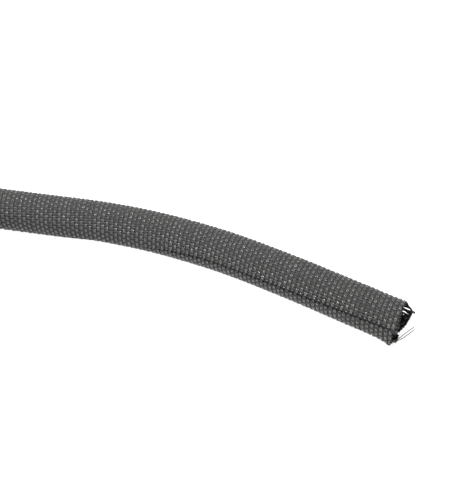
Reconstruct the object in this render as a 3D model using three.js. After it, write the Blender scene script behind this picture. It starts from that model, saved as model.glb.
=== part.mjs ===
// A length of woven cable sleeve of the self-wrapping kind: one strip of cloth, heat-set into a
// tube whose outer flap laps over the inner one. The free end lies straight, the rest is wound
// into a low coil of two layers. Millimetres, +Z up, the floor at z = 0.
import * as THREE from 'three';

// Driving sizes
const LENGTH = 1000; // stock length along the middle of the tube
const BORE = 12; // clear width at the inner flap's edge
const WALL = 0.7; // thickness of the woven cloth
const LAYER_GAP = 0.3; // air between the two flaps where they lap
const OVERLAP = 90; // degrees of lap, a quarter of the girth
const COIL_RADIUS = 74; // to the middle of the tube
const TURN_GAP = 0.5; // air between the coil's layers
const CLIMB_START = 255; // degrees into each turn where the tube starts to climb onto the coil
const CLIMB_END = 335; // degrees into each turn where it lies on the layer below

// How finely the curved surface is divided
const FACET_ANGLE = 18; // degrees of girth in one facet
const RING_SPACING = 12.5; // along the tube
const COIL_POINT_ANGLE = 15; // degrees of coil between two route points

// Where the free end's mouth stands on the floor
const MOUTH = new THREE.Vector2(134.14, 92.73);

// The tube's middle on the floor, from the mouth to the coil, as [back from the mouth, aside]
const TAIL = [
  [0, 0], [14, 0], [28, 0.2], [42, 0.2], [56, -0.1], [70, -1.1], [84, -2.9], [98, -5.6],
  [112, -9.3], [126, -13.9], [140, -18.7], [154, -23.5], [168, -28.1], [182, -32.6],
  [196, -37.1], [209.6, -41.4],
];

// Where the lap's edge faces: [distance from the mouth, degrees up from level on the near side]
const SEAM_TURN = [
  [0, 29], [28, 20], [48, 15], [72, 13], [84, 5], [100, -13], [116, -26], [132, -42], [180, -75],
];

const radians = THREE.MathUtils.degToRad;

// Cross-section

const layerRise = WALL + LAYER_GAP; // how far the spiral moves out in a full turn
const sweep = 360 + OVERLAP;
const outerEdgeRadius = BORE / 2 - layerRise / 4 + layerRise * sweep / 360 + WALL;

/** Radius of the outer face, so many degrees round from the outer flap's edge. */
function outerRadius(angle) {
  return outerEdgeRadius - layerRise * angle / 360;
}

/** The cloth's section: out along its outer face and back along its inner one. */
function clothSection() {
  const angles = [];
  for (let angle = 0; angle < sweep; angle += FACET_ANGLE) angles.push(angle);
  angles.push(sweep);
  const at = (angle, radius) => new THREE.Vector2(
    radius * Math.cos(radians(angle)), radius * Math.sin(radians(angle)));
  const outside = angles.map((angle) => at(angle, outerRadius(angle)));
  const inside = angles.map((angle) => at(angle, outerRadius(angle) - WALL)).reverse();
  return [...outside, ...inside];
}

const section = clothSection();

/** Height of the section's centre when the tube lies on the floor with its seam so turned. */
function seatHeight(turn) {
  const heights = section.map((point) => point.x * Math.sin(turn) + point.y * Math.cos(turn));
  return -Math.min(...heights);
}

// Route

/** The seam's turn in radians at a distance from the mouth. */
function seamTurn(distance) {
  const next = SEAM_TURN.findIndex(([reach]) => reach > distance);
  if (next < 0) return radians(SEAM_TURN.at(-1)[1]);
  const [from, turnFrom] = SEAM_TURN[Math.max(next - 1, 0)];
  const [to, turnTo] = SEAM_TURN[next];
  const share = (distance - from) / (to - from);
  return radians(THREE.MathUtils.lerp(turnFrom, turnTo, share));
}

/** Which layer of the coil the tube lies on, so many degrees into it; it climbs once a turn. */
function coilLayer(angle) {
  const turns = Math.floor(angle / 360);
  return turns + THREE.MathUtils.smoothstep(angle - 360 * turns, CLIMB_START, CLIMB_END);
}

/** The tube's middle line: the tail's points, then the coil's, wound on from its last two. */
function routePoints() {
  const points = TAIL.map(([back, aside]) => new THREE.Vector3(MOUTH.x - back, MOUTH.y + aside, 0));
  const tailLength = new THREE.CatmullRomCurve3(points).getLength();
  const end = points.at(-1);
  const heading = end.clone().sub(points.at(-2)).normalize();
  const start = Math.atan2(-heading.x, heading.y);
  const centre = new THREE.Vector2(
    end.x - COIL_RADIUS * Math.cos(start), end.y - COIL_RADIUS * Math.sin(start));
  const layerHeight = 2 * outerEdgeRadius - layerRise / 2 + TURN_GAP;
  const coilAngle = THREE.MathUtils.radToDeg((LENGTH - tailLength) / COIL_RADIUS);
  for (let angle = COIL_POINT_ANGLE; angle < coilAngle + COIL_POINT_ANGLE; angle += COIL_POINT_ANGLE) {
    const around = start + radians(angle);
    points.push(new THREE.Vector3(
      centre.x + COIL_RADIUS * Math.cos(around),
      centre.y + COIL_RADIUS * Math.sin(around),
      layerHeight * coilLayer(angle)));
  }
  return points;
}

/** The tube's middle line cut to the stock length, lying on the floor, with its seam turned. */
class SleeveRoute extends THREE.Curve {
  constructor(points) {
    super();
    this.line = new THREE.CatmullRomCurve3(points, false, 'centripetal');
    this.line.arcLengthDivisions = 40 * points.length;
  }

  getPoint(t, target = new THREE.Vector3()) {
    this.line.getPointAt(Math.min(t * LENGTH / this.line.getLength(), 1), target);
    target.z = Math.max(target.z, 0) + seatHeight(seamTurn(t * LENGTH));
    return target;
  }

  /** The middle line's own direction, without the small rise and fall of the seat. */
  getTangent(t, target = new THREE.Vector3()) {
    return this.line.getTangentAt(Math.min(t * LENGTH / this.line.getLength(), 1), target);
  }

  /** Frames that hold the section's seam where SEAM_TURN says, measured from the floor. */
  computeFrenetFrames(segments) {
    const frames = { tangents: [], normals: [], binormals: [] };
    for (let i = 0; i <= segments; i++) {
      const tangent = this.getTangentAt(i / segments);
      const nearSide = new THREE.Vector3(0, 0, 1).cross(tangent).normalize();
      const turn = seamTurn(LENGTH * i / segments);
      const normal = nearSide.applyAxisAngle(tangent, turn);
      frames.tangents.push(tangent);
      frames.normals.push(normal);
      frames.binormals.push(tangent.clone().cross(normal));
    }
    return frames;
  }
}

// The sleeve

const sleeve = new THREE.Mesh(
  new THREE.ExtrudeGeometry(new THREE.Shape(section), {
    extrudePath: new SleeveRoute(routePoints()),
    steps: Math.round(LENGTH / RING_SPACING),
  }),
  new THREE.MeshStandardMaterial({ color: 0x4d4e50, roughness: 0.6, metalness: 0 }));
sleeve.name = 'sleeve';

const part = new THREE.Group();
part.add(sleeve);

export default part;
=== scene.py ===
"""A length of self-wrapping woven cable sleeve, thread by thread, in a plain white studio.

The sleeve is one strip of plain-woven cloth, set into a tube whose outer flap laps over the
inner one. Lengthwise yarns (the warp) pass over and under crosswise threads (the weft), and
each weft throw is a pair of glossy filaments that turn round at the outer flap's edge. The
free end is cut off a little ragged, and the other end lies at the end of a coil.
"""
import logging
import math
from dataclasses import dataclass, field, replace
from enum import Enum
from typing import Union

import bpy
import numpy as np
from bpy.types import Material, Node, NodeSocket, Object
from mathutils import Euler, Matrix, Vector


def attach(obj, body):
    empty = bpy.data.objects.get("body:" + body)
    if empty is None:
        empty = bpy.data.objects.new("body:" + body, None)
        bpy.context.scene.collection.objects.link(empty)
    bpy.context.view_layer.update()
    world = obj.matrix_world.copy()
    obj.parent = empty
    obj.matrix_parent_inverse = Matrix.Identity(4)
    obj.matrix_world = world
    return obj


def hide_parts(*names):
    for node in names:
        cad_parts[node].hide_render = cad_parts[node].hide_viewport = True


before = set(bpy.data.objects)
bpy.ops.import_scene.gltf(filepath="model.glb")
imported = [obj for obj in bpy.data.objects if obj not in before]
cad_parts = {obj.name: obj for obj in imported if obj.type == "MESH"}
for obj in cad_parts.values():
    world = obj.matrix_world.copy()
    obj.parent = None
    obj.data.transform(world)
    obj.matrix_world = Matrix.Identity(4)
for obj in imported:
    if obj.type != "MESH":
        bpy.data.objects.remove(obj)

LOG = logging.getLogger("cable_sleeve")
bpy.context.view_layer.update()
CAD_NODE = "sleeve"
BODY = "root"

Array = np.ndarray
Values = Union[float, Array]
Pair = tuple[float, float]
Triple = tuple[float, float, float]

MM = 0.001
UP = np.array([0.0, 0.0, 1.0])
WHITE = (1.0, 1.0, 1.0, 1.0)
TINY = 1e-12
PLAIN_SIDES = 4

# Each thread's random numbers start from its own number, added to one of these
PICK_SEED = 1000
YARN_SEED = 5000
FIBRE_SEED = 9000


# The tube and its route

@dataclass(frozen=True)
class Tube:
    """The tube's section: a spiral that laps over itself, measured at the middle of its wall."""

    bore: float = 12 * MM
    wall: float = 0.7 * MM
    layer_gap: float = 0.3 * MM
    overlap: float = math.radians(90)
    seat_samples: int = 181

    @property
    def turn_rise(self) -> float:
        """How far the spiral moves in over a full turn."""
        return self.wall + self.layer_gap

    @property
    def rise(self) -> float:
        """How far the spiral moves in over one radian."""
        return self.turn_rise / (2 * math.pi)

    @property
    def sweep(self) -> float:
        """Angle from the outer flap's edge round to the inner flap's edge."""
        return 2 * math.pi + self.overlap

    @property
    def edge_radius(self) -> float:
        """Radius of the wall's middle at the outer flap's edge."""
        return self.bore / 2 - self.turn_rise / 4 + self.rise * self.sweep + self.wall / 2

    @property
    def girth(self) -> float:
        """Width of the strip, laid flat."""
        return self.edge_radius * self.sweep - self.rise * self.sweep**2 / 2

    @property
    def lap_start(self) -> float:
        """Distance across the strip where the inner flap goes under the outer one."""
        return self.across_at(2 * math.pi)

    @property
    def diameter(self) -> float:
        """What the lapped tube measures across."""
        return 2 * self.edge_radius + self.wall - self.turn_rise / 2

    def angle_at(self, across: Values) -> Values:
        """Angle round from the outer flap's edge, for a distance across the strip."""
        return (self.edge_radius - np.sqrt(self.edge_radius**2 - 2 * self.rise * across)) / self.rise

    def across_at(self, angle: float) -> float:
        """Distance across the strip, for an angle round from the outer flap's edge."""
        return self.edge_radius * angle - self.rise * angle**2 / 2

    def radius_at(self, angle: Array) -> Array:
        """Radius of the wall's middle at an angle round from the outer flap's edge."""
        return self.edge_radius - self.rise * angle

    def seat_height(self, turn: Array) -> Array:
        """Height of the tube's middle above the floor, for the way its seam is turned.

        Args:
            turn: how far the outer flap's edge is turned up from level, in radians.

        Returns:
            One height for each turn.
        """
        angle = np.linspace(0, self.sweep, self.seat_samples)[:, None]
        reach = self.radius_at(angle) + self.wall / 2
        return np.max(-reach * np.sin(angle + turn), axis=0)


def centripetal_line(points: Array, per_span: int) -> Array:
    """Draw a smooth line through points, as a centripetal Catmull-Rom curve.

    Args:
        points: the points that the line passes through, one a row.
        per_span: how many samples to take between two of them.

    Returns:
        The samples, one a row, with the last point at their end.
    """
    padded = np.vstack([2 * points[0] - points[1], points, 2 * points[-1] - points[-2]])
    p0, p1, p2, p3 = padded[:-3], padded[1:-2], padded[2:-1], padded[3:]
    gap0, gap1, gap2 = (
        np.sqrt(np.linalg.norm(b - a, axis=1))[:, None] for a, b in ((p0, p1), (p1, p2), (p2, p3))
    )
    slope1 = ((p1 - p0) / gap0 - (p2 - p0) / (gap0 + gap1) + (p2 - p1) / gap1) * gap1
    slope2 = ((p2 - p1) / gap1 - (p3 - p1) / (gap1 + gap2) + (p3 - p2) / gap2) * gap1
    t = np.linspace(0, 1, per_span, endpoint=False)[:, None, None]
    square = 3 * (p2 - p1) - 2 * slope1 - slope2
    cube = 2 * (p1 - p2) + slope1 + slope2
    line = p1 + t * slope1 + t**2 * square + t**3 * cube
    return np.vstack([line.transpose(1, 0, 2).reshape(-1, 3), points[-1:]])


def unit(rows: Array) -> Array:
    """Bring each row to a length of one."""
    return rows / np.maximum(np.linalg.norm(rows, axis=1, keepdims=True), TINY)


def reached_along(line: Array) -> Array:
    """How far along a line each of its points lies."""
    return np.concatenate([[0], np.cumsum(np.linalg.norm(np.diff(line, axis=0), axis=1))])


def between(value: Array, ends: Pair) -> Array:
    """Whether values lie between two ends."""
    return (value > ends[0]) & (value < ends[1])


def smooth_step(value: Array, low: float, high: float) -> Array:
    """Rise smoothly from 0 at low to 1 at high."""
    share = np.clip((value - low) / (high - low), 0, 1)
    return share * share * (3 - 2 * share)


@dataclass
class Route:
    """The tube's middle line, from the mouth along the straight tail and round the coil."""

    tube: Tube
    length: float = 1000 * MM
    coil_radius: float = 74 * MM
    turn_gap: float = 0.5 * MM
    # Degrees round a turn of the coil: its climb to the next layer, and the step of its points
    climb: Pair = (255, 335)
    coil_point_angle: float = 15
    spare_points: int = 2
    mouth: Pair = (0.13414, 0.09273)
    # The tube's middle on the floor, from the mouth to the coil: back from the mouth, aside
    tail: tuple[Pair, ...] = (
        (0, 0), (0.014, 0), (0.028, 0.0002), (0.042, 0.0002), (0.056, -0.0001), (0.070, -0.0011),
        (0.084, -0.0029), (0.098, -0.0056), (0.112, -0.0093), (0.126, -0.0139), (0.140, -0.0187),
        (0.154, -0.0235), (0.168, -0.0281), (0.182, -0.0326), (0.196, -0.0371), (0.2096, -0.0414),
    )
    # Where the lap's edge faces: distance from the mouth, degrees up from level on the near side
    seam_turn: tuple[Pair, ...] = (
        (0, 29), (0.010, 27), (0.028, 22), (0.048, 18), (0.072, 17), (0.084, 11), (0.100, -5),
        (0.116, -18), (0.132, -34), (0.180, -73),
    )
    spacing: float = 0.5 * MM
    overrun: float = 12 * MM
    samples_per_span: int = 60
    table: Array = field(init=False)

    def __post_init__(self) -> None:
        """Work out the table of places and directions along the line."""
        line = centripetal_line(self.points(), self.samples_per_span)
        reached = reached_along(line)
        distance = np.arange(-self.overrun, self.length + self.overrun, self.spacing)
        inside = np.clip(distance, 0, self.length)

        def sample(places: Array) -> Array:
            """The line's points at distances along it."""
            return np.stack([np.interp(places, reached, line[:, k]) for k in range(3)], axis=1)

        centre = sample(inside)
        heading = unit(sample(inside + self.spacing) - sample(np.maximum(inside - self.spacing, 0)))
        centre += heading * (distance - inside)[:, None]
        turn = self.seam_at(inside)
        centre[:, 2] = np.maximum(centre[:, 2], 0) + self.tube.seat_height(turn)
        near = unit(np.cross(UP, heading))
        side = near * np.cos(turn)[:, None] + np.cross(heading, near) * np.sin(turn)[:, None]
        self.table = np.hstack([centre, side, np.cross(heading, side)])

    def seam_at(self, distance: Array) -> Array:
        """The seam's turn in radians at distances from the mouth."""
        places, turns = zip(*self.seam_turn)
        return np.radians(np.interp(distance, places, turns))

    def points(self) -> Array:
        """List the line's points: the tail's, then the coil's, wound on from its last two.

        Returns:
            The points, one a row, as if the tube's middle lay on the floor.
        """
        tail = np.array([
            (self.mouth[0] - back, self.mouth[1] + aside, 0) for back, aside in self.tail
        ])
        tail_length = reached_along(centripetal_line(tail, self.samples_per_span))[-1]
        heading = (tail[-1] - tail[-2]) / np.linalg.norm(tail[-1] - tail[-2])
        start = math.atan2(-heading[0], heading[1])
        centre = tail[-1, :2] - self.coil_radius * np.array([math.cos(start), math.sin(start)])
        layer_height = self.tube.diameter + self.turn_gap
        coil_angle = math.degrees((self.length - tail_length) / self.coil_radius)
        count = coil_angle // self.coil_point_angle + self.spare_points
        angle = np.arange(1, count + 1) * self.coil_point_angle
        around = start + np.radians(angle)
        turns = np.floor(angle / 360)
        layer = turns + smooth_step(angle - 360 * turns, *self.climb)
        level = centre + self.coil_radius * np.stack([np.cos(around), np.sin(around)], axis=1)
        return np.vstack([tail, np.column_stack([level, layer_height * layer])])

    def at(self, distance: Array) -> tuple[Array, Array, Array]:
        """Find the tube's middle and the section's two directions.

        Args:
            distance: distances from the mouth, along the line.

        Returns:
            The middle points, the directions to the seam, and those a quarter turn on from it.
        """
        place = (distance + self.overrun) / self.spacing
        index = np.clip(place.astype(int), 0, len(self.table) - 2)
        share = (place - index)[..., None]
        row = self.table[index] * (1 - share) + self.table[index + 1] * share
        return row[..., :3], row[..., 3:6], row[..., 6:]

    def middle(self, step: float) -> Array:
        """The middle line as points a step apart."""
        return self.at(np.linspace(0, self.length, round(self.length / step) + 1))[0]


@dataclass
class Surface:
    """The strip's own coordinates, along and across it, and where they lie in space."""

    tube: Tube
    route: Route
    # The mouth's bent corner: degrees round from the outer flap's edge, and how far it flares
    corner_angle: float = 286
    corner_width: float = 28
    corner_flare: float = 1.2 * MM
    corner_reach: float = 3 * MM
    # The dent in the mouth's rim, likewise
    dent_angle: float = 104
    dent_width: float = 35
    dent_depth: float = 0.2 * MM
    dent_reach: Pair = (7 * MM, 13 * MM)
    # The groove where the inner flap goes in under the outer one
    groove_depth: float = 0.6 * MM
    groove_offset: float = 0.4 * MM
    groove_width: float = 0.6 * MM
    # How far the outer flap's corner has slipped round at the mouth
    slip: float = 1.1 * MM
    slip_reach: Pair = (-1.2 * MM, 0.8 * MM)
    slip_width: float = 4 * MM
    # The outer flap's edge, sprung up near the mouth
    edge_spring: float = 0.30 * MM
    edge_width: float = 1.6 * MM
    sprung_to: Pair = (30 * MM, 80 * MM)
    wave_height: float = 0.07 * MM
    wave_lengths: Pair = (17.1 * MM, 6.7 * MM)
    # The cloth's fullness on the free length and in the coil, and where it changes
    puff: float = 0.42 * MM
    coil_puff: float = 0.12 * MM
    puffed_to: Pair = (105 * MM, 160 * MM)
    # How close to the floor a thread's middle may lie
    lowest: float = 0.18 * MM

    def place(self, along: Array, across: Array, lift: Array) -> tuple[Array, Array]:
        """Place points of the strip.

        Args:
            along: distances from the mouth.
            across: distances across the strip, from the outer flap's edge.
            lift: heights out from the middle of the wall.

        Returns:
            The points and the directions that face out of the tube there.
        """
        along, across, lift = np.broadcast_arrays(along, across, lift)
        slipped = self.slip * (1 - smooth_step(along, *self.slip_reach))
        across = across - slipped * np.exp(-np.maximum(across, 0) / self.slip_width)
        angle = self.tube.angle_at(across)
        centre, side, quarter = self.route.at(along)
        outward = side * np.cos(angle)[..., None] + quarter * np.sin(angle)[..., None]
        radius = self.tube.radius_at(angle) + lift + self.stand_off(along, across, angle)
        points = centre + outward * radius[..., None]
        # The fuller the tube, the higher its middle lies above the floor
        points[..., 2] = np.maximum(points[..., 2] + self.fullness(along), self.lowest)
        return points, outward

    def fullness(self, along: Array) -> Array:
        """How much fuller than the plain solid the cloth is, more on the free length."""
        return self.puff + (self.coil_puff - self.puff) * smooth_step(along, *self.puffed_to)

    def stand_off(self, along: Array, across: Array, angle: Array) -> Array:
        """How far the cloth stands off its round section.

        Args:
            along: distances from the mouth.
            across: distances across the strip.
            angle: angles round from the outer flap's edge.

        Returns:
            The fullness, the mouth's bent corner and dented rim, the sprung edge, the groove beneath
            it and faint waves, all together.
        """
        off_corner = (np.degrees(angle) - self.corner_angle) / self.corner_width
        reach = np.exp(-np.maximum(along, 0) / self.corner_reach)
        corner = self.corner_flare * np.exp(-off_corner**2) * reach
        edge = self.edge_spring * np.exp(-np.maximum(across, 0) / self.edge_width)
        edge = edge * (1 - smooth_step(along, *self.sprung_to))
        off_dent = (np.degrees(angle) - self.dent_angle) / self.dent_width
        dent = self.dent_depth * np.exp(-off_dent**2) * (1 - smooth_step(along, *self.dent_reach))
        off_groove = (across - self.tube.lap_start + self.groove_offset) / self.groove_width
        groove = self.groove_depth * np.exp(-off_groove**2)
        long_wave, short_wave = self.wave_lengths
        wave = np.sin(along / long_wave + 2 * angle) * np.sin(along / short_wave - angle)
        waves = self.wave_height * wave * (np.sin(angle) ** 2)
        return self.fullness(along) + corner + edge + waves - dent - groove


# Threads

@dataclass
class Threads:
    """A set of closed threads that end up in one mesh, with lengthwise and round coordinates."""

    name: str
    rings: list[Array] = field(default_factory=list)
    faces: list[Array] = field(default_factory=list)
    coordinates: list[Array] = field(default_factory=list)
    flat: list[Array] = field(default_factory=list)
    shades: list[Array] = field(default_factory=list)
    count: int = 0
    # How far the pattern along the lightest thread starts from that along the darkest
    pattern_shift: float = 37 * MM

    def add(
        self, points: Array, outward: Array, width: Values, thickness: Values,
        shade: float, sides: int = PLAIN_SIDES,
    ) -> None:
        """Add one thread with a closed end at both ends.

        Args:
            points: the thread's middle line.
            outward: the direction at each point that its thickness is measured in.
            width: its width, one for all or one for each point.
            thickness: its thickness, likewise.
            shade: how light this thread is among its like, from 0 to 1.
            sides: how many sides its section has, an even number.
        """
        total = len(points)
        heading = unit(np.gradient(points, axis=0))
        sideways = unit(np.cross(outward, heading))
        upward = np.cross(heading, sideways)
        # A ring of few sides is a little larger, so that it holds the round thread's area
        fuller = math.sqrt(2 * math.pi / (sides * math.sin(2 * math.pi / sides)))
        turn = (np.arange(sides) + 0.5) * 2 * math.pi / sides
        half_width, half_depth = (
            np.broadcast_to(np.asarray(size) * fuller / 2, total)[:, None, None]
            for size in (width, thickness)
        )
        ring = (
            sideways[:, None] * half_width * np.cos(turn)[None, :, None]
            + upward[:, None] * half_depth * np.sin(turn)[None, :, None]
        )
        self.rings.append((points[:, None] + ring).reshape(-1, 3))
        self._skin(total, sides, reached_along(points) + shade * self.pattern_shift)
        self.shades.append(np.full(total * sides, shade))
        self.count += total * sides

    def _skin(self, total: int, sides: int, reached: Array) -> None:
        """Join a thread's rings into faces.

        Args:
            total: how many rings it has.
            sides: how many points each ring has.
            reached: how far along the thread each ring lies.
        """
        ring, side = np.meshgrid(np.arange(total - 1), np.arange(sides), indexing="ij")
        ring, side = ring.ravel(), side.ravel()
        after = (side + 1) % sides
        here, beyond = ring * sides, (ring + 1) * sides
        wall = np.stack([here + side, here + after, beyond + after, beyond + side], axis=1)
        along = reached[np.stack([ring, ring, ring + 1, ring + 1], axis=1)]
        around = np.stack([side, side + 1, side + 1, side], axis=1) / sides
        fan = np.array([(0, 2 * k + 1, 2 * k + 2, 2 * k + 3) for k in range(sides // 2 - 1)])
        last = (total - 1) * sides
        caps = np.vstack([fan[:, ::-1], fan + last])
        self.faces.append(np.vstack([wall, caps]) + self.count)
        self.coordinates.append(np.stack([along, around], axis=2).reshape(-1, 2))
        self.coordinates.append(np.full((4 * len(caps), 2), reached[0]))
        self.flat.append(np.concatenate([np.zeros(len(wall), bool), np.ones(len(caps), bool)]))

    def build(self, material: Material) -> Object:
        """Make the mesh object and dress it.

        Args:
            material: the finish of all its threads.

        Returns:
            The new object, which rides on the body and replaces the solid.
        """
        places = np.vstack(self.rings)
        faces = np.vstack(self.faces)
        mesh = bpy.data.meshes.new(self.name)
        mesh.vertices.add(len(places))
        mesh.vertices.foreach_set("co", places.ravel())
        mesh.loops.add(faces.size)
        mesh.loops.foreach_set("vertex_index", faces.ravel().astype(np.int32))
        mesh.polygons.add(len(faces))
        mesh.polygons.foreach_set("loop_start", np.arange(0, faces.size, 4, dtype=np.int32))
        mesh.update(calc_edges=True)
        if mesh.validate():
            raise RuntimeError(f"{self.name} has faces that are not sound")
        mesh.polygons.foreach_set("use_smooth", ~np.concatenate(self.flat))
        layer = mesh.uv_layers.new(name="thread")
        layer.data.foreach_set("uv", np.vstack(self.coordinates).ravel())
        shade = mesh.attributes.new(name="shade", type="FLOAT", domain="POINT")
        shade.data.foreach_set("value", np.concatenate(self.shades))
        mesh.materials.append(material)
        piece = bpy.data.objects.new(self.name, mesh)
        bpy.context.scene.collection.objects.link(piece)
        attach(piece, BODY)
        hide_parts(CAD_NODE)
        LOG.info("%s: %d threads, %d triangles", self.name, len(self.rings), 2 * len(faces))
        return piece


class Detail(Enum):
    """How finely a stretch of the cloth is made."""

    CLOSE = "both filaments of each pair, and rounder yarns"
    FAR = "one flat thread for each pair, and plainer yarns"


@dataclass(frozen=True)
class Stretch:
    """One mesh's share of the cloth's length."""

    name: str
    start: float
    end: float
    detail: Detail


@dataclass
class Cloth:
    """The plain weave: how the warp and the weft lie, and where they are cut off."""

    tube: Tube
    route: Route
    surface: Surface
    pick_pitch: float = 1.67 * MM
    ends: int = 56
    slant: float = 0.1
    detail_change: float = 158 * MM
    mouth_picks: int = 10
    pick_spare: float = 3 * MM
    # The cut edge at the mouth: degrees round from the outer flap's edge, metres in
    cut_edge: tuple[Pair, ...] = (
        (0, -0.0024), (10, -0.0023), (20, -0.0022), (30, -0.0016), (40, -0.0014), (50, -0.0010),
        (60, -0.0007), (80, -0.0003), (92, 0.0), (106, 0.0002), (130, -0.0001), (140, -0.0009),
        (147, -0.0017), (151, -0.0024), (154, -0.0029), (158, -0.0026), (163, -0.0020),
        (170, -0.0017), (180, -0.0017), (190, -0.0014), (200, -0.0012), (210, -0.0008),
        (216, -0.0002), (223, -0.0003), (225, 0.0005), (231, 0.0004), (234, -0.0006),
        (242, -0.0007), (250, -0.0010), (256, -0.0012), (260, -0.0006), (266, -0.0002),
        (286, 0.0002), (300, -0.0005), (320, -0.0008), (345, -0.0011), (360, -0.0011),
        (372, -0.0004), (450, -0.0003),
    )
    # Where picks have slipped out behind the cut edge: degrees round, and distances in
    bare_degrees: Pair = (138, 168)
    bare_along: Pair = (-1.9 * MM, 2.0 * MM)
    # The yarns that have parted there: how far each has moved across, its width, and from where
    parted: dict[int, Triple] = field(default_factory=lambda: {
        19: (-0.22 * MM, 0.72 * MM, -0.75 * MM), 20: (0.02 * MM, 0.66 * MM, -0.75 * MM),
        21: (-0.42 * MM, 0.60 * MM, -0.1 * MM), 22: (-0.22 * MM, 0.84 * MM, -0.1 * MM),
        23: (-0.12 * MM, 1.25 * MM, -0.1 * MM), 24: (0.0, 1.25 * MM, -0.1 * MM),
    })
    parted_fade: float = 0.9 * MM

    @property
    def end_pitch(self) -> float:
        """Distance between two warp yarns."""
        return self.tube.girth / self.ends

    def lean(self, across: Values) -> Values:
        """How far the picks shift along the tube, because the weave leans a little."""
        return self.slant * (across - self.tube.girth / 2)

    def cut(self, across: Values) -> Values:
        """Distance from the mouth at which the cloth starts, for places across the strip."""
        degrees, starts = zip(*self.cut_edge)
        return np.interp(np.degrees(self.tube.angle_at(across)), degrees, starts)

    def bare(self, along: Array, across: Array) -> Array:
        """Whether places of the strip lie where the picks have slipped out."""
        degrees = np.degrees(self.tube.angle_at(across))
        return between(degrees, self.bare_degrees) & between(along, self.bare_along)

    def picks(self, start: float, end: float) -> range:
        """List the picks whose middle lies in a stretch, with those that only lean into the cloth.

        Args:
            start: where the stretch starts, 0 for the mouth.
            end: where it ends, the whole length for the coil's end.

        Returns:
            The picks' numbers.
        """
        spare = self.slant * self.tube.girth / 2 + self.pick_spare
        first = start if start > 0 else -spare
        last = end if end < self.route.length else end + spare
        return range(math.ceil(first / self.pick_pitch), math.ceil(last / self.pick_pitch))


def runs(mask: Array) -> list[slice]:
    """Split a row of yes and no into its unbroken stretches of yes, two long or more."""
    edges = np.flatnonzero(np.diff(np.concatenate([[0], mask.astype(int), [0]])))
    return [slice(a, b) for a, b in zip(edges[::2], edges[1::2]) if b - a > 1]


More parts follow.
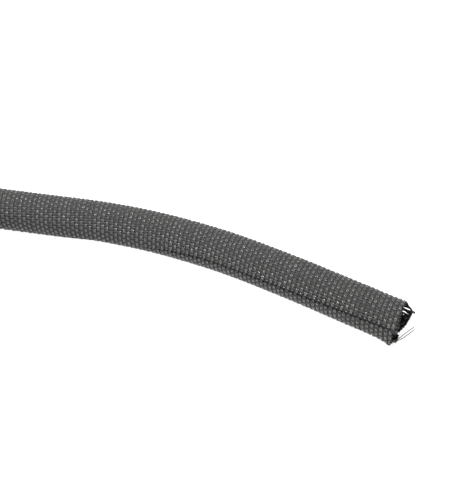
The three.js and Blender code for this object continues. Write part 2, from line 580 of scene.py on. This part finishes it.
@dataclass
class Weft:
    """The crosswise threads: a pair of glossy filaments in each pick, turned round at the edge."""

    cloth: Cloth
    filament: float = 0.40 * MM
    pair_spacing: float = 0.46 * MM
    lift: float = 0.24 * MM
    crown: float = 0.1
    loop_overhang: float = 0.05 * MM
    flat_width: float = 0.86 * MM
    flat_thickness: float = 0.36 * MM
    samples_per_crossing: int = 3
    bend_points: int = 3
    overhang_range: Pair = (0.6, 1.4)
    unevenness: float = 0.05 * MM
    height_unevenness: float = 0.08
    far_cut: float = 0.3 * MM

    def across(self, detail: Detail, number: int) -> Array:
        """Where a pick is sampled across the strip.

        Args:
            detail: how finely this stretch is made.
            number: the pick's number from the mouth.

        Returns:
            The distances across, closer together where the thread shows.
        """
        cloth = self.cloth
        shown = cloth.tube.lap_start if number > cloth.mouth_picks else cloth.tube.girth
        crossings = round(shown / cloth.end_pitch)
        if detail is Detail.CLOSE:
            fine = np.arange(crossings * self.samples_per_crossing) / self.samples_per_crossing
        else:
            fine = np.concatenate([[0], np.arange(crossings) + 0.5])
        plain = np.arange(crossings, cloth.ends) + 0.5
        return np.concatenate([fine, plain, [cloth.ends]]) * cloth.end_pitch

    def height(self, across: Array, number: int) -> Array:
        """How far a pick rises and dips as it crosses the warp, more on the outside."""
        crossing = across / self.cloth.end_pitch - 0.5
        return self.lift * (np.cos(math.pi * (crossing + number)) + self.crown)

    def build(self, stretch: Stretch, material: Material) -> Object:
        """Weave the picks of one stretch.

        Args:
            stretch: which part of the length, and how finely.
            material: the filaments' finish.

        Returns:
            The finished piece.
        """
        threads = Threads(stretch.name)
        for number in self.cloth.picks(stretch.start, stretch.end):
            rng = np.random.default_rng(PICK_SEED + number)
            if stretch.detail is Detail.CLOSE:
                self._pair(threads, number, rng)
            else:
                self._flat(threads, number, rng)
        return threads.build(material)

    def _whole(self, along: Array, across: Array) -> Array:
        """Which samples of a pick lie on the cloth, between its two cut ends."""
        inside = (along > self.cloth.cut(across)) & (along < self.cloth.route.length - self.far_cut)
        return inside & ~self.cloth.bare(along, across)

    def _flat(self, threads: Threads, number: int, rng: np.random.Generator) -> None:
        """Add a pick as one flat thread.

        Args:
            threads: the mesh to add it to.
            number: the pick's number from the mouth.
            rng: this pick's own unevenness.
        """
        cloth = self.cloth
        across = self.across(Detail.FAR, number)
        across[0] = -self.loop_overhang
        along = number * cloth.pick_pitch + cloth.lean(across) + rng.normal(0, self.unevenness)
        height = self.height(across, number)
        for run in runs(self._whole(along, across)):
            points, outward = cloth.surface.place(along[run], across[run], height[run])
            threads.add(points, outward, self.flat_width, self.flat_thickness, rng.random())

    def _pair(self, threads: Threads, number: int, rng: np.random.Generator) -> None:
        """Add a pick as two filaments, joined round the outer flap's edge where both reach it.

        Args:
            threads: the mesh to add it to.
            number: the pick's number from the mouth.
            rng: this pick's own unevenness.
        """
        cloth = self.cloth
        across = self.across(Detail.CLOSE, number)
        middle = number * cloth.pick_pitch + cloth.lean(across) + rng.normal(0, self.unevenness)
        middle = middle + rng.normal(0, self.unevenness / 2, len(across))
        uneven = rng.normal(0, self.height_unevenness, len(across))
        height = self.height(across, number) * (1 + uneven)
        half = self.pair_spacing / 2
        shade = rng.random()
        first, second = middle + half, middle - half
        if self._whole(first, across).all() and self._whole(second, across).all():
            bend = np.linspace(math.pi / 2, -math.pi / 2, self.bend_points + 2)[1:-1]
            tip_along = middle[0] + half * np.sin(bend)
            tip_across = -self.loop_overhang * np.cos(bend) * rng.uniform(*self.overhang_range)
            along = np.concatenate([first[::-1], tip_along, second])
            places = np.concatenate([across[::-1], tip_across, across])
            lift = np.concatenate([height[::-1], np.full(len(bend), height[0]), height])
            points, outward = cloth.surface.place(along, places, lift)
            threads.add(points, outward, self.filament, self.filament, shade)
            return
        for along in (first, second):
            for run in runs(self._whole(along, across)):
                points, outward = cloth.surface.place(along[run], across[run], height[run])
                threads.add(points, outward, self.filament, self.filament, shade)


@dataclass
class Warp:
    """The lengthwise yarns: flat bundles of fine fibres."""

    cloth: Cloth
    width: float = 1.06 * MM
    bulge: float = 0.06
    thickness: float = 0.25 * MM
    lift: float = 0.12 * MM
    tail_past_cut: float = 0.1 * MM
    unevenness: float = 0.12 * MM
    least_step: float = 0.05 * MM
    # Samples for each pick and sides of the section, on the free length and in the coil
    close_detail: tuple[int, int] = (2, 6)
    far_detail: tuple[int, int] = (1, 4)

    def build(self, name: str, ends: range, material: Material) -> Object:
        """Lay a group of yarns along the whole tube.

        Args:
            name: the piece's name.
            ends: numbers of the yarns, from the outer flap's edge.
            material: the yarns' finish.

        Returns:
            The finished piece.
        """
        threads = Threads(name)
        for number in ends:
            rng = np.random.default_rng(YARN_SEED + number)
            shade = rng.random()
            start, end = self.reach(number, rng)
            change = self.cloth.detail_change
            self._lay(threads, number, (start, change, *self.close_detail), shade)
            self._lay(threads, number, (change, end, *self.far_detail), shade)
        return threads.build(material)

    def across(self, number: int) -> float:
        """Where a yarn lies across the strip."""
        return (number + 0.5) * self.cloth.end_pitch

    def reach(self, number: int, rng: np.random.Generator) -> Pair:
        """Where a yarn is cut off at the mouth and at the coil's end."""
        start = self.cloth.cut(self.across(number)) - self.tail_past_cut
        return tuple((start, self.cloth.route.length) + rng.normal(0, self.unevenness, 2))

    def _lay(
        self, threads: Threads, number: int, share: tuple[float, float, int, int], shade: float
    ) -> None:
        """Lay one share of a yarn.

        Args:
            threads: the mesh to add it to.
            number: the yarn's number from the outer flap's edge.
            share: its start, its end, its samples for each pick and its sides.
            shade: how light it is.
        """
        start, end, per_pick, sides = share
        cloth = self.cloth
        across = self.across(number)
        lean = cloth.lean(across)
        pitch = cloth.pick_pitch / per_pick
        first = math.floor((start - lean) / pitch) + 1
        last = math.ceil((end - lean) / pitch)
        along = np.concatenate([[start], np.arange(first, last) * pitch + lean, [end]])
        along = along[np.concatenate([[True], np.diff(along) > self.least_step])]
        rise = -np.cos(math.pi * ((along - lean) / cloth.pick_pitch + number))
        height = self.lift * rise
        shift, narrow, low = cloth.parted.get(number, (0, self.width, 0))
        high = cloth.bare_along[1]
        parted = smooth_step(along, low - cloth.parted_fade / 2, low + cloth.parted_fade / 2)
        parted = parted * (1 - smooth_step(along, high - cloth.parted_fade, high))
        full = self.width * (1 + self.bulge * rise)
        width = full + (narrow - full) * parted
        points, outward = cloth.surface.place(along, across + shift * parted, height)
        threads.add(points, outward, width, self.thickness, shade, sides)


@dataclass
class Edges:
    """The thin locking threads along both edges of the strip."""

    cloth: Cloth
    thread: float = 0.46 * MM
    lift: float = 0.08 * MM
    drop: float = 0.1 * MM
    overhang: float = 0.2 * MM
    shade: float = 0.3

    def build(self, material: Material) -> Object:
        """Run a thread over and under the picks along each edge.

        Args:
            material: the threads' finish.

        Returns:
            The finished piece.
        """
        threads = Threads("edge_threads")
        cloth = self.cloth
        for across in (-self.overhang, cloth.tube.girth + self.overhang):
            start = cloth.cut(max(across, 0.0))
            along = np.arange(start, cloth.route.length, cloth.pick_pitch / 2)
            passed = (along - cloth.lean(across)) / cloth.pick_pitch
            height = self.lift * np.cos(math.pi * passed) - self.drop
            points, outward = cloth.surface.place(along, across, height)
            threads.add(points, outward, self.thread, self.thread, self.shade)
        return threads.build(material)


@dataclass
class Fray:
    """What has come loose at the cuts: fibre tips and two fine filaments."""

    cloth: Cloth
    warp: Warp
    fibre: float = 0.05 * MM
    fibres_per_yarn: int = 9
    fibre_samples: int = 4
    fibre_reach: float = 0.45 * MM
    reach_range: Pair = (0.3, 1.5)
    root_depth: float = 0.3 * MM
    side_limit: float = 0.3 * MM
    # How far the fibres start aside, drift aside and rise, as a normal spread
    spreads: Triple = (0.25 * MM, 0.35 * MM, 0.2 * MM)
    filament: float = 0.25 * MM
    filament_samples: int = 6
    filament_sides: int = 6
    filament_shade: float = 0.8
    # The loose filaments' points, as (ahead of the mouth, aside, up), in millimetres
    filament_points: tuple[tuple[Triple, ...], ...] = (
        ((-3.2, -3.9, 1.2), (-1.2, -2.9, 0.8), (0.75, -1.33, 0.5), (2.14, 2.96, 0.4),
         (3.64, 7.42, 0.4)),
        ((-2.4, -4.4, 1.5), (-0.1, -3.3, 0.9), (1.85, -0.51, 0.5), (3.1, 2.9, 0.35),
         (4.18, 6.15, 0.5)),
    )

    def fibres(self, material: Material) -> Object:
        """Spread fine fibre tips out of each cut yarn.

        Args:
            material: the fibres' finish.

        Returns:
            The finished piece.
        """
        threads = Threads("frayed_fibres")
        for number in range(self.cloth.ends):
            ends = self.warp.reach(number, np.random.default_rng(YARN_SEED + number))
            rng = np.random.default_rng(FIBRE_SEED + number)
            for tip, way in zip(ends, (-1, 1)):
                for _ in range(self.fibres_per_yarn):
                    self._fibre(threads, number, tip, way, rng)
        return threads.build(material)

    def _fibre(
        self, threads: Threads, number: int, tip: float, way: int, rng: np.random.Generator
    ) -> None:
        """Add one bent fibre.

        Args:
            threads: the mesh to add it to.
            number: the yarn it comes from.
            tip: where that yarn is cut off.
            way: -1 at the mouth and 1 at the coil's end.
            rng: this yarn's own unevenness.
        """
        share = np.linspace(0, 1, self.fibre_samples)
        reach = self.fibre_reach * rng.uniform(*self.reach_range)
        side, drift, rise = (rng.normal(0, spread) for spread in self.spreads)
        side = np.clip(side, -self.side_limit, self.side_limit)
        along = tip + way * (reach * share - self.root_depth)
        across = self.warp.across(number) + side + drift * share**2
        points, outward = self.cloth.surface.place(along, across, rise * share**2)
        points[:, 2] = np.maximum(points[:, 2], self.fibre)
        threads.add(points, outward, self.fibre, self.fibre, rng.random())

    def loose_filaments(self, material: Material) -> Object:
        """Lay the two fine filaments that reach out of the mouth along the floor.

        Args:
            material: the filaments' finish.

        Returns:
            The finished piece.
        """
        threads = Threads("loose_filaments")
        mouth = np.array([*self.cloth.route.mouth, 0.0])
        for knots in self.filament_points:
            line = centripetal_line(mouth + np.array(knots) * MM, self.filament_samples)
            outward = np.broadcast_to(UP, line.shape)
            thick = self.filament
            threads.add(line, outward, thick, thick, self.filament_shade, self.filament_sides)
        return threads.build(material)


# Finishes

Number = Union["Value", float]


class Value:
    """A number that varies over a surface, for arithmetic that adds Math nodes."""

    def __init__(self, nodes: "Nodes", socket: NodeSocket) -> None:
        """Wrap one output of one node."""
        self.nodes = nodes
        self.socket = socket

    def _math(self, operation: str, first: Number, second: Number) -> "Value":
        """Add one Math node."""
        node = self.nodes.add("ShaderNodeMath", {"operation": operation}, {0: first, 1: second})
        return Value(self.nodes, node.outputs[0])

    def __add__(self, other: Number) -> "Value":
        """Add."""
        return self._math("ADD", self, other)

    def __radd__(self, other: Number) -> "Value":
        """Add to a plain number."""
        return self._math("ADD", other, self)

    def __mul__(self, other: Number) -> "Value":
        """Multiply."""
        return self._math("MULTIPLY", self, other)

    def __rmul__(self, other: Number) -> "Value":
        """Multiply a plain number."""
        return self._math("MULTIPLY", other, self)

    def sine(self) -> "Value":
        """Take the sine."""
        return self._math("SINE", self, 0.0)


class Nodes:
    """The node tree of one material, started from a single Principled shader."""

    def __init__(self, name: str) -> None:
        """Make the material and keep its shader at hand.

        Args:
            name: the material's name.
        """
        self.material = bpy.data.materials.new(name)
        self.material.use_nodes = True
        self.tree = self.material.node_tree
        self.tree.nodes.clear()
        self.shader = self.add("ShaderNodeBsdfPrincipled")
        self.add("ShaderNodeOutputMaterial", inputs={"Surface": self.shader.outputs[0]})
        self.place = self.add("ShaderNodeTexCoord").outputs["Object"]

    def add(
        self, kind: str, settings: Union[dict, None] = None, inputs: Union[dict, None] = None
    ) -> Node:
        """Add a node of any kind.

        Args:
            kind: the node's type.
            settings: its own settings, which are set first.
            inputs: the values of its sockets, or what is linked to them.

        Returns:
            The new node.
        """
        node = self.tree.nodes.new(kind)
        for key, value in (settings or {}).items():
            setattr(node, key, value)
        self.feed(node, inputs or {})
        return node

    def feed(self, node: Node, inputs: dict) -> None:
        """Set or link a node's sockets.

        Args:
            node: the node to feed.
            inputs: values, wrapped values or outputs, by socket name or number.
        """
        for key, value in inputs.items():
            source = value.socket if isinstance(value, Value) else value
            if isinstance(source, NodeSocket):
                self.tree.links.new(source, node.inputs[key])
            else:
                node.inputs[key].default_value = source

    def attribute(self, name: str) -> Value:
        """Read a number that the mesh carries."""
        node = self.add("ShaderNodeAttribute", {"attribute_name": name})
        return Value(self, node.outputs["Fac"])

    def noise(self, scale: float, detail: float = 2.0) -> Value:
        """Read noise on Object coordinates, about 0 to 1."""
        sockets = {"Vector": self.place, "Scale": scale, "Detail": detail}
        return Value(self, self.add("ShaderNodeTexNoise", {}, sockets).outputs["Fac"])

    def thread_place(self) -> tuple[Value, Value]:
        """Read where on its thread a point lies.

        Returns:
            How far along the thread, and how far round it from 0 to 1.
        """
        place = self.add("ShaderNodeUVMap", {"uv_map": "thread"}).outputs[0]
        parts = self.add("ShaderNodeSeparateXYZ", inputs={0: place})
        return Value(self, parts.outputs[0]), Value(self, parts.outputs[1])

    def blend(self, factor: Value, dark: Triple, light: Triple) -> NodeSocket:
        """Mix two colours by a varying share, through the colour sockets, which go by number."""
        sockets = {0: factor, 6: (*dark, 1.0), 7: (*light, 1.0)}
        return self.add("ShaderNodeMix", {"data_type": "RGBA"}, sockets).outputs[2]

    def bump(self, height: Value, distance: float, strength: float) -> NodeSocket:
        """Turn a height into a surface normal."""
        sockets = {"Height": height, "Distance": distance, "Strength": strength}
        return self.add("ShaderNodeBump", {}, sockets).outputs["Normal"]


@dataclass(frozen=True)
class ThreadFinish:
    """What a kind of thread looks like: its colours, its gloss and its grain."""

    name: str
    dark: Triple
    light: Triple
    smoothest: float = 0.1
    roughness_range: float = 0.2
    specular: float = 0.5
    # How much the thread's own shade, patches and painted shade in the grooves between fibres change
    # its colour
    shares: Triple = (0.3, 0.7, 0.0)
    patch_scale: float = 700
    patch_detail: float = 2
    grain_scale: float = 5200
    grain_height: float = 0.03 * MM
    grain_strength: float = 0.35
    # For bundles of fibres: how many show round one, and how fast they wind
    fibres_round: int = 0
    twist: float = 900.0

    def material(self) -> Material:
        """Make the material.

        Returns:
            The threads' material.
        """
        nodes = Nodes(self.name)
        shade, patch, groove_shade_share = self.shares
        patches = nodes.noise(self.patch_scale, self.patch_detail)
        factor = nodes.attribute("shade") * shade + patches * patch
        grain = nodes.noise(self.grain_scale)
        if self.fibres_round:
            along, around = nodes.thread_place()
            wound = around * (2 * math.pi * self.fibres_round) + along * self.twist
            fibre_relief_and_shade = wound.sine() * 0.5 + 0.5
            # Painted shade: the colour darkens in the grooves between the fibres, where the bump
            # sinks too
            factor = factor + fibre_relief_and_shade * groove_shade_share
            grain = fibre_relief_and_shade + grain
        nodes.feed(nodes.shader, {
            "Base Color": nodes.blend(factor, self.dark, self.light),
            "Roughness": patches * self.roughness_range + self.smoothest,
            "Normal": nodes.bump(grain, self.grain_height, self.grain_strength),
            "Specular IOR Level": self.specular,
        })
        return nodes.material


FILAMENT = ThreadFinish("weft_filament", (0.025, 0.0248, 0.0241), (0.090, 0.0893, 0.0868))
LOOSE_FILAMENT = replace(
    FILAMENT, name="loose_filament", dark=(0.14, 0.14, 0.137), light=(0.2, 0.2, 0.196)
)
# The yarns' third share is painted shade in the grooves between their fibres
YARN = ThreadFinish(
    "warp_yarn", (0.004, 0.004, 0.0039), (0.014, 0.0138, 0.0134), smoothest=0.45, specular=0.3,
    shares=(0.2, 0.55, 0.25), patch_scale=420, patch_detail=3, grain_scale=3800,
    grain_height=0.04 * MM, grain_strength=0.5, fibres_round=22,
)
# The locking threads are a dark yarn of their own, made darker still as painted shade: they draw the
# dark shadow line under the outer flap's edge
EDGE_THREAD_WITH_PAINTED_SHADE = replace(
    YARN, name="edge_thread_painted_shade", dark=(0.003, 0.003, 0.003), light=(0.008, 0.008, 0.008)
)


@dataclass(frozen=True)
class FloorFinish:
    """Milky sheet of a light table, lit from within."""

    colour: Triple = (0.35, 0.35, 0.35)
    roughness: float = 0.9
    specular: float = 0.2
    grain_scale: float = 30
    grain_depth: float = 0.01
    glow: float = 1.0

    def material(self) -> Material:
        """Make the material.

        Returns:
            The floor's material.
        """
        nodes = Nodes("floor_card")
        grain = nodes.noise(self.grain_scale)
        darker = tuple(part - self.grain_depth for part in self.colour)
        nodes.feed(nodes.shader, {
            "Base Color": nodes.blend(grain, darker, self.colour),
            "Roughness": self.roughness,
            "Specular IOR Level": self.specular,
            "Emission Color": WHITE,
            "Emission Strength": self.glow,
        })
        return nodes.material


# The studio

@dataclass(frozen=True)
class SoftLight:
    """A square soft light: its place round the sleeve in degrees, its side and its watts."""

    name: str
    azimuth: float
    elevation: float
    size: float
    power: float


@dataclass
class Studio:
    """The camera, the lights and the floor."""

    target: Triple = (0.06624, 0.09523, 0.00741)
    azimuth: float = 31
    elevation: float = 43
    distance: float = 0.361
    lens: float = 73.83
    sensor: float = 36
    clip: Pair = (0.01, 50)
    soft_lights: tuple[SoftLight, ...] = (
        SoftLight("key_light", -28, 62, 0.3, 32.0), SoftLight("back_light", 205, 26, 0.8, 7.5),
    )
    light_distance: float = 1.1
    sky: float = 0.27
    floor_size: float = 40.0

    @staticmethod
    def direction(azimuth: float, elevation: float) -> Vector:
        """Direction from the object towards an azimuth and an elevation in degrees."""
        a, e = math.radians(azimuth), math.radians(elevation)
        return Vector((math.sin(a) * math.cos(e), -math.cos(a) * math.cos(e), math.sin(e)))

    def camera(self) -> Object:
        """Put the camera where the picture was taken from.

        Returns:
            The scene's camera.
        """
        data = bpy.data.cameras.new("camera")
        data.lens = self.lens
        data.sensor_fit = "VERTICAL"
        data.sensor_height = self.sensor
        data.clip_start, data.clip_end = self.clip
        camera = bpy.data.objects.new("camera", data)
        towards = self.direction(self.azimuth, self.elevation)
        camera.location = Vector(self.target) + towards * self.distance
        tilt, turn = math.radians(90 - self.elevation), math.radians(self.azimuth)
        camera.rotation_euler = Euler((tilt, 0, turn))
        bpy.context.scene.collection.objects.link(camera)
        bpy.context.scene.camera = camera
        LOG.info("camera: %.3f m from the sleeve", self.distance)
        return camera

    def hang(self, light: SoftLight) -> None:
        """Hang a soft light so that it faces the sleeve.

        Args:
            light: which light to hang.
        """
        data = bpy.data.lights.new(light.name, "AREA")
        data.shape = "SQUARE"
        data.size = light.size
        data.energy = light.power
        towards = self.direction(light.azimuth, light.elevation)
        lamp = bpy.data.objects.new(light.name, data)
        lamp.location = Vector(self.target) + towards * self.light_distance
        lamp.rotation_euler = towards.to_track_quat("Z", "Y").to_euler()
        bpy.context.scene.collection.objects.link(lamp)

    def lights(self) -> None:
        """Light the sleeve from above on the left, softly from behind, and from a white room."""
        for light in self.soft_lights:
            self.hang(light)
        world = bpy.data.worlds.new("studio")
        world.use_nodes = True
        background = world.node_tree.nodes["Background"]
        background.inputs["Color"].default_value = WHITE
        background.inputs["Strength"].default_value = self.sky
        bpy.context.scene.world = world
        bpy.context.scene.view_settings.view_transform = "Standard"
        LOG.info("lights: %d soft lights and a white room", len(self.soft_lights))

    def floor(self) -> Object:
        """Lay the floor.

        Returns:
            The floor, which is not part of the object.
        """
        bpy.ops.object.select_all(action="DESELECT")
        bpy.ops.mesh.primitive_plane_add(size=self.floor_size)
        floor = bpy.context.active_object
        floor.name = "floor"
        floor.data.materials.append(FloorFinish().material())
        LOG.info("floor: %.1f m square", self.floor_size)
        return floor


@dataclass
class Sleeve:
    """The whole sleeve."""

    tube: Tube = Tube()
    path_step: float = 5 * MM

    def build(self) -> Object:
        """Returns:
            The piece that the others go with.
        """
        route = Route(self.tube)
        cloth = Cloth(self.tube, route, Surface(self.tube, route))
        filament, yarn = FILAMENT.material(), YARN.material()
        warp, weft = Warp(cloth), Weft(cloth)
        fray = Fray(cloth, warp)
        half = cloth.ends // 2
        outer = warp.build("warp_outer_half", range(half), yarn)
        pieces = [warp.build("warp_inner_half", range(half, cloth.ends), yarn)]
        pieces += [weft.build(stretch, filament) for stretch in self.stretches(cloth)]
        # The edge threads' dark finish partly paints the shadow line under the outer flap's edge
        pieces.append(Edges(cloth).build(EDGE_THREAD_WITH_PAINTED_SHADE.material()))
        pieces.append(fray.fibres(yarn))
        pieces.append(fray.loose_filaments(LOOSE_FILAMENT.material()))
        path = route.middle(self.path_step)
        tuple(path[-1])
        self.tube.diameter
        return outer

    @staticmethod
    def stretches(cloth: Cloth) -> list[Stretch]:
        """Share the weft out among meshes of a like size.

        Args:
            cloth: the cloth that it belongs to.

        Returns:
            The stretches, from the mouth on.
        """
        tail = cloth.detail_change
        names = ("weft_coil_start", "weft_coil_climb", "weft_coil_end")
        thirds = np.linspace(tail, cloth.route.length, len(names) + 1)
        return [
            Stretch("weft_free_end", 0, tail / 2, Detail.CLOSE),
            Stretch("weft_tail", tail / 2, tail, Detail.CLOSE),
            *(Stretch(name, a, b, Detail.FAR) for name, a, b in zip(names, thirds, thirds[1:])),
        ]


def main() -> None:
    """Build the scene: the camera first, then the sleeve, the lights and the floor."""
    logging.basicConfig(level=logging.INFO, format="%(name)s: %(message)s")
    studio = Studio()
    studio.camera()
    Sleeve().build()
    studio.lights()
    studio.floor()


if __name__ == "__main__":
    main()
